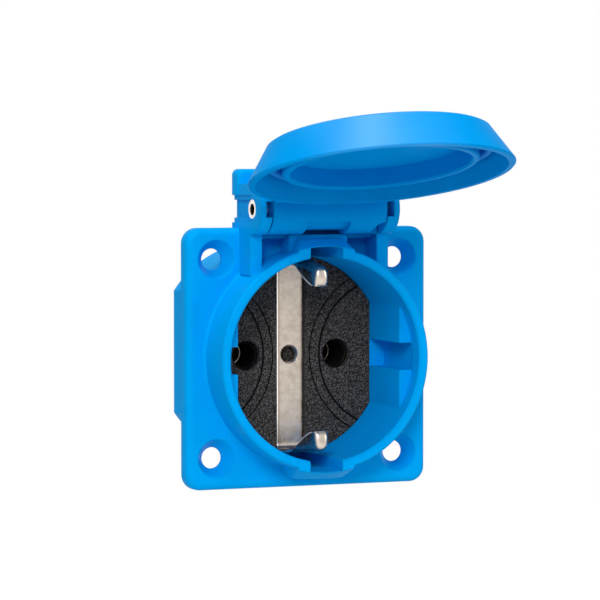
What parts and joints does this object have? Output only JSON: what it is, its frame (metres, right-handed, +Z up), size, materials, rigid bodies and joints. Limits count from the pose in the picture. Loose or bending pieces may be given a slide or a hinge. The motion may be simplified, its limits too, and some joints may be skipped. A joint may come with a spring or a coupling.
{
  "type": "industrial panel socket",
  "caption": "Square panel-mount power socket with round recess, side earth clips and a hinged splash lid.",
  "frame": {"origin": "on the socket axis, in the plane of the flange's rear face where it meets the panel", "axes": "-Y out of the panel towards the plug, +Z up towards the hinge, +X to the right seen from the front"},
  "size_m": [0.05, 0.0838, 0.0717],
  "materials": {
    "blue_plastic": "satin moulded plastic",
    "black_plastic": "fine-grained matte",
    "seal": "soft blue elastomer",
    "nickel_strip": "rolled nickel-plated strip",
    "pin_steel": "bright drawn tube",
    "spring_steel": "dull spring steel",
    "brass": "machined",
    "screw_steel": "zinc plated"
  },
  "bodies": {
    "socket": {"housing": "blue_plastic", "hinge_pin": "pin_steel", "socket_insert": "black_plastic", "contact_carrier": "black_plastic", "terminal_frame": "black_plastic", "earth_bracket": "nickel_strip", "earth_tail": "brass", "contact_left": "brass", "contact_right": "brass", "contact_spring_left": "spring_steel", "contact_spring_right": "spring_steel", "terminal_left": "brass", "terminal_earth": "brass", "terminal_right": "brass", "terminal_screw_left": "screw_steel", "terminal_screw_earth": "screw_steel", "terminal_screw_right": "screw_steel", "carrier_screw_left": "screw_steel", "carrier_screw_right": "screw_steel", "carrier_screw_lower": "screw_steel"},
    "cover": {"lid": "blue_plastic", "lid_seal": "seal"}
  },
  "joints": [
    {"name": "lid_hinge", "type": "hinge", "parent": "socket", "child": "cover", "pos_m": [0, -0.0094, 0.0286], "axis": [1, 0, 0], "range_deg": [0, 103.4]}
  ]
}
